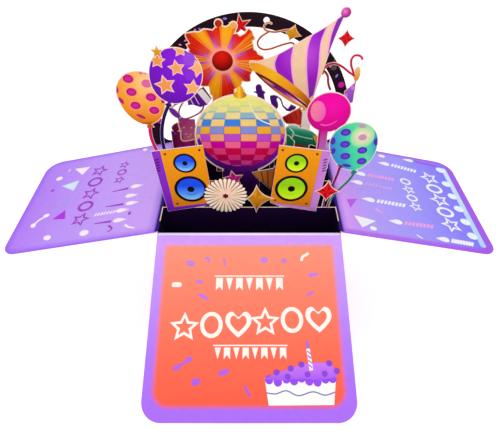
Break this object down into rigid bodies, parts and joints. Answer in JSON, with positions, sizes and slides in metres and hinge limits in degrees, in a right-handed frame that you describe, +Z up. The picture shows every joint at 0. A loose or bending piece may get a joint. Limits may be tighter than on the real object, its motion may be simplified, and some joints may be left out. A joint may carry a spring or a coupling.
{
  "type": "pop up card",
  "caption": "Upright folded card box with three outward flaps, cross slats and layered die-cut party figures in front of a card arch.",
  "frame": {"origin": "middle of the bottom edge of the front wall, at half the card's thickness", "axes": "+X to the viewer's right, the long way across the open flaps; +Y from the front wall to the rear wall; +Z up"},
  "size_m": [0.255, 0.161, 0.1859],
  "materials": {
    "sleeve_card": "satin",
    "front_flap_card": "satin",
    "left_flap_card": "satin",
    "right_flap_card": "satin",
    "slat_card": "satin",
    "arch_card": "satin",
    "speaker_left_print": "satin",
    "speaker_right_print": "satin",
    "rosette_print": "satin",
    "gold_print": "satin",
    "red_print": "satin",
    "teal_print": "satin",
    "mirror_ball_print": "satin",
    "orange_print": "satin",
    "purple_print": "satin",
    "magenta_print": "satin",
    "green_print": "satin",
    "horn_print": "satin",
    "burst_print": "satin",
    "hat_print": "satin",
    "wine_print": "satin",
    "popper_print": "satin",
    "drum_print": "satin",
    "note_print": "satin",
    "streamer_gold_print": "satin",
    "streamer_red_print": "satin",
    "candle_print": "satin",
    "clear_film": "gloss"
  },
  "bodies": {
    "card": {"sleeve": "sleeve_card", "slat_front": "slat_card", "slat_middle": "slat_card", "slat_rear": "slat_card", "rear_arch": "arch_card", "speaker_left": "speaker_left_print", "speaker_right": "speaker_right_print", "rosette": "rosette_print", "star_gold_front": "gold_print", "star_gold_rear": "gold_print", "star_gold_small": "gold_print", "star_red_front": "red_print", "star_red_rear": "red_print", "star_red_high": "red_print", "balloon_teal": "teal_print", "disco_ball": "mirror_ball_print", "balloon_orange": "orange_print", "balloon_purple": "purple_print", "balloon_magenta": "magenta_print", "star_magenta": "magenta_print", "bottle": "green_print", "party_horn": "horn_print", "starburst": "burst_print", "party_hat": "hat_print", "gift_box": "wine_print", "party_popper": "popper_print", "drum": "drum_print", "parcel_green": "green_print", "note_single": "note_print", "note_pair": "note_print", "streamer_gold": "streamer_gold_print", "streamer_red": "streamer_red_print", "candle": "candle_print", "film_strut": "clear_film"},
    "front_flap": {"front_flap": "front_flap_card"},
    "left_flap": {"left_flap": "left_flap_card"},
    "right_flap": {"right_flap": "right_flap_card"}
  },
  "joints": [
    {"name": "front_crease", "type": "hinge", "parent": "card", "child": "front_flap", "pos_m": [0, -0.00032, 0.1001], "axis": [-1, 0, 0], "range_deg": [-68, 111]},
    {"name": "left_crease", "type": "hinge", "parent": "card", "child": "left_flap", "pos_m": [-0.0451, 0.04077, 0.1001], "axis": [0, 1, 0], "range_deg": [-78, 76]},
    {"name": "right_crease", "type": "hinge", "parent": "card", "child": "right_flap", "pos_m": [0.0451, 0.04077, 0.1001], "axis": [0, -1, 0], "range_deg": [-78, 76]}
  ]
}
